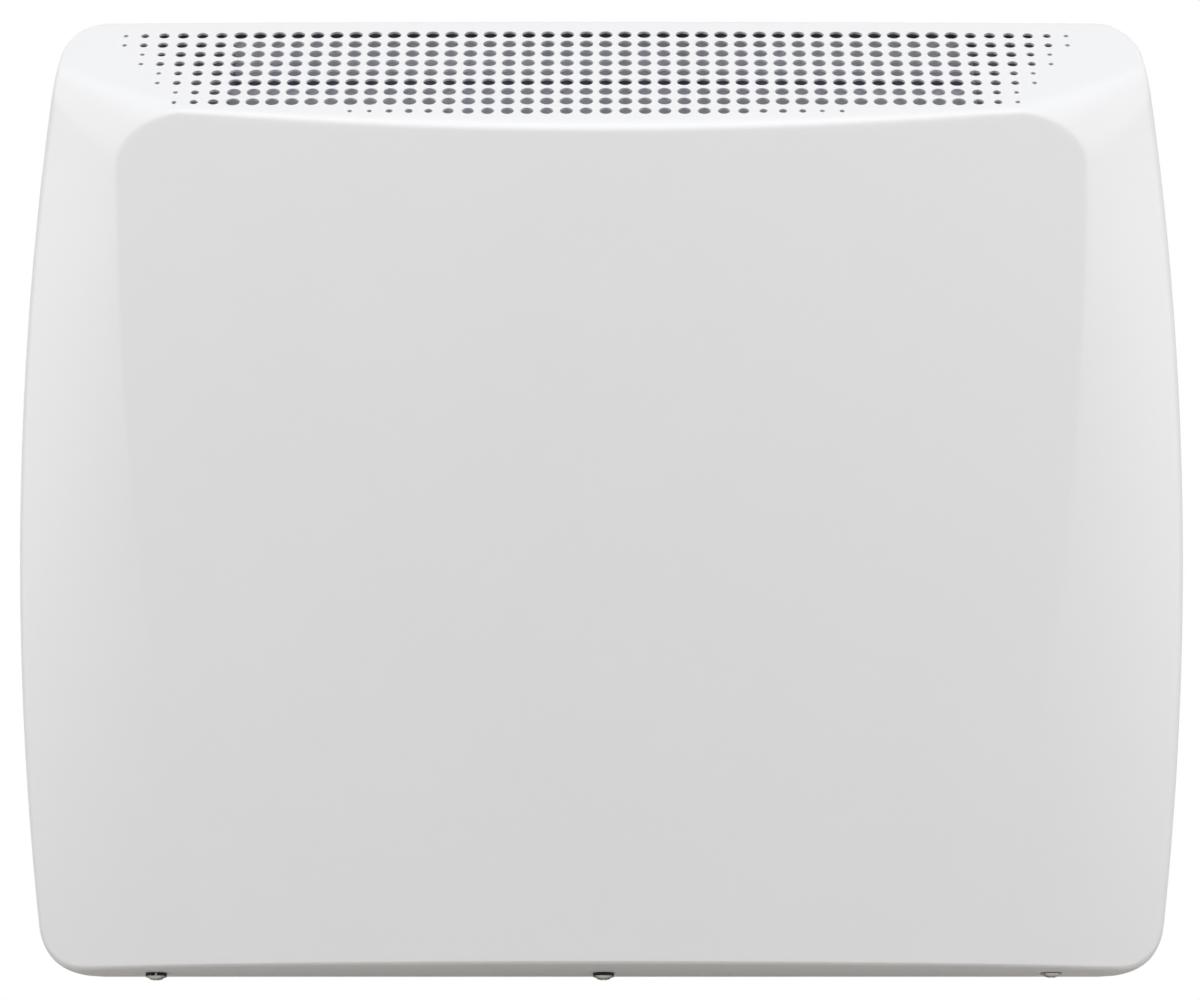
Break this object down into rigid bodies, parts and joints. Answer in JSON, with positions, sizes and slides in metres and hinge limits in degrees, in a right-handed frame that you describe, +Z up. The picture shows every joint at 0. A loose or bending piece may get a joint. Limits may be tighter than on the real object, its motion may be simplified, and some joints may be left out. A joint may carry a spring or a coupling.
{
  "type": "panel heater",
  "caption": "Wall-hung electric panel heater: bowed sheet-steel cover with a sloped, perforated top outlet, side controls and a wall bracket.",
  "frame": {"origin": "centre of the wall bracket's back face, on the wall", "axes": "+Z up the wall, +Y into the wall, the front faces -Y, +X to the right seen from the front"},
  "size_m": [0.5186, 0.1029, 0.4285],
  "materials": {
    "white_enamel": "semi-matt white powder coat",
    "galvanised": "galvanised sheet steel",
    "zinc": "bright zinc plate",
    "aluminium": "extruded, mill finish",
    "ceramic": "unglazed insulator body",
    "brass": "plain turned brass",
    "white_plastic": "fine-grained moulding",
    "dark_plastic": "moulded phenolic",
    "black_rubber": "soft moulded rubber",
    "lead_brown": "heat-resistant lead sleeve",
    "lead_blue": "heat-resistant lead sleeve",
    "lead_green": "heat-resistant lead sleeve"
  },
  "bodies": {
    "case": {"front_cover": "white_enamel", "back_plate": "galvanised", "wall_bracket": "galvanised", "catch_spring": "zinc", "cover_screw_left": "zinc", "cover_screw_centre": "zinc", "cover_screw_right": "zinc", "wall_foot_left": "black_rubber", "end_wall_left": "galvanised", "element_pin_left": "zinc", "element_bush_left": "ceramic", "wall_foot_right": "black_rubber", "end_wall_right": "galvanised", "element_pin_right": "zinc", "element_bush_right": "ceramic", "heat_shield": "galvanised", "rear_deflector": "galvanised", "heating_element": "aluminium", "thermal_cutout": "dark_plastic", "control_tray": "white_plastic", "thermostat_body": "dark_plastic", "switch_body": "dark_plastic", "terminal_block": "white_plastic", "cable_grommet": "black_rubber", "earth_stud": "brass", "earth_nut": "brass", "lead_live": "lead_brown", "lead_switched": "lead_brown", "lead_thermostat": "lead_brown", "lead_element": "lead_brown", "lead_neutral": "lead_blue", "lead_earth": "lead_green"},
    "knob": {"thermostat_spindle": "zinc", "thermostat_knob": "white_plastic"},
    "rocker": {"switch_rocker": "white_plastic"},
    "catch": {"bracket_catch": "zinc"}
  },
  "joints": [
    {"name": "thermostat_turn", "type": "hinge", "parent": "case", "child": "knob", "pos_m": [0.247, -0.02465, -0.002], "axis": [1, 0, 0], "range_deg": [-150, 150]},
    {"name": "switch_rock", "type": "hinge", "parent": "case", "child": "rocker", "pos_m": [0.2464, -0.02465, -0.044], "axis": [0, -1, 0], "range_deg": [0, 20]},
    {"name": "catch_slide", "type": "slide", "parent": "case", "child": "catch", "axis": [0, 0, 1], "range_m": [-0.006, 0], "stiffness_N_per_m": 400, "springref_m": 0.004, "deforming": ["catch_spring"]}
  ]
}
